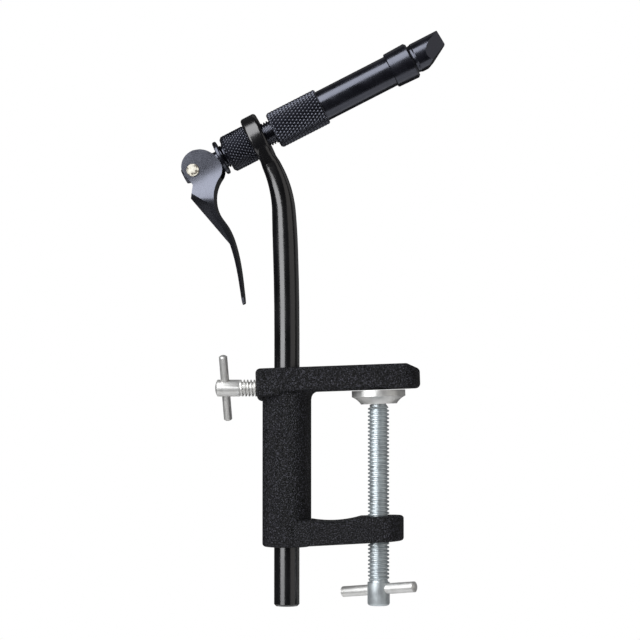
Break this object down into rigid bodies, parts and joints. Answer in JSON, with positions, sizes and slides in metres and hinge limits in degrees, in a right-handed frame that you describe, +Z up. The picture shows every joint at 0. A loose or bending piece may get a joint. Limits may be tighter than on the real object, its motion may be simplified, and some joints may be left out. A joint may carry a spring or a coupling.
{
  "type": "fly tying vise",
  "caption": "Fly tying vise: a table clamp holds a bent black stem whose tilted head draws a split collet into a collar when the cam lever is pulled down.",
  "frame": {"origin": "on the clamp screw's axis, on the underside of the upper clamp jaw", "axes": "+Z up along the stem, +X from the stem towards the clamp screw and the jaw tips, +Y away from the viewer"},
  "size_m": [0.0995, 0.0204, 0.2153],
  "materials": {
    "cast_black": "rough black textured paint on a sand casting",
    "gloss_black": "smooth glossy black",
    "black_oxide": "satin black oxide",
    "zinc_plate": "bright zinc plate",
    "nickel_plate": "satin nickel plate",
    "pin_plate": "worn bright plate, slightly warm"
  },
  "bodies": {
    "clamp": {"clamp_body": "cast_black"},
    "lock_screw": {"lock_screw": "nickel_plate", "lock_screw_bar": "nickel_plate"},
    "pad": {"clamp_pad": "nickel_plate"},
    "clamp_screw": {"clamp_screw": "zinc_plate", "clamp_screw_bar": "nickel_plate"},
    "stem": {"stem": "gloss_black"},
    "head": {"center_tube": "black_oxide", "lock_nut": "black_oxide", "cam_washer": "black_oxide"},
    "barrel": {"barrel": "black_oxide", "front_collar": "black_oxide"},
    "adjusting_nut": {"adjusting_nut": "black_oxide"},
    "collet": {"draw_rod": "black_oxide"},
    "jaw_left": {"jaw_left": "black_oxide"},
    "jaw_right": {"jaw_right": "black_oxide"},
    "lever": {"cam_lever": "gloss_black", "lever_pin": "pin_plate"}
  },
  "joints": [
    {"name": "lock_screw_turn", "type": "hinge", "parent": "clamp", "child": "lock_screw", "pos_m": [-0.0452, 0, 0.0006], "axis": [1, 0, 0], "range_deg": [-360, 0]},
    {"name": "pad_slide", "type": "slide", "parent": "clamp", "child": "pad", "axis": [0, 0, 1], "range_m": [-0.03668, 0]},
    {"name": "clamp_screw_turn", "type": "hinge", "parent": "pad", "child": "clamp_screw", "pos_m": [0, 0, 0], "axis": [0, 0, 1], "range_deg": [-9360, 0]},
    {"name": "stem_slide", "type": "slide", "parent": "clamp", "child": "stem", "axis": [0, 0, 1], "range_m": [-0.015, 0.055]},
    {"name": "head_roll", "type": "hinge", "parent": "stem", "child": "head", "pos_m": [-0.04523, 0, 0.09446], "axis": [0.8934, 0, 0.4493], "range_deg": [-180, 180]},
    {"name": "barrel_slide", "type": "slide", "parent": "head", "child": "barrel", "axis": [0.8934, 0, 0.4493], "range_m": [-0.00299, 0]},
    {"name": "nut_turn", "type": "hinge", "parent": "barrel", "child": "adjusting_nut", "pos_m": [-0.04523, 0, 0.09446], "axis": [0.8934, 0, 0.4493], "range_deg": [-1018, 0]},
    {"name": "collet_draw", "type": "slide", "parent": "head", "child": "collet", "axis": [0.8934, 0, 0.4493], "range_m": [0, 0.00383]},
    {"name": "lever_swing", "type": "hinge", "parent": "collet", "child": "lever", "pos_m": [-0.06936, 0, 0.08232], "axis": [0, 1, 0], "range_deg": [0, 90]},
    {"name": "jaw_left_open", "type": "hinge", "parent": "collet", "child": "jaw_left", "pos_m": [-0.00279, 0.002, 0.1158], "axis": [-0.4493, 0, 0.8934], "range_deg": [0, 1.61]},
    {"name": "jaw_right_open", "type": "hinge", "parent": "collet", "child": "jaw_right", "pos_m": [-0.00279, -0.002, 0.1158], "axis": [-0.4493, 0, 0.8934], "range_deg": [-1.61, 0]}
  ],
  "couplings": [
    {"joint": "clamp_screw_turn", "follows": "pad_slide", "rad_per_m": 4452.9},
    {"joint": "nut_turn", "follows": "barrel_slide", "rad_per_m": 5938.6},
    {"joint": "lever_swing", "follows": "collet_draw", "rad_per_m": 409.84},
    {"joint": "jaw_left_open", "follows": "collet_draw", "rad_per_m": 7.286},
    {"joint": "jaw_right_open", "follows": "collet_draw", "rad_per_m": -7.286}
  ]
}
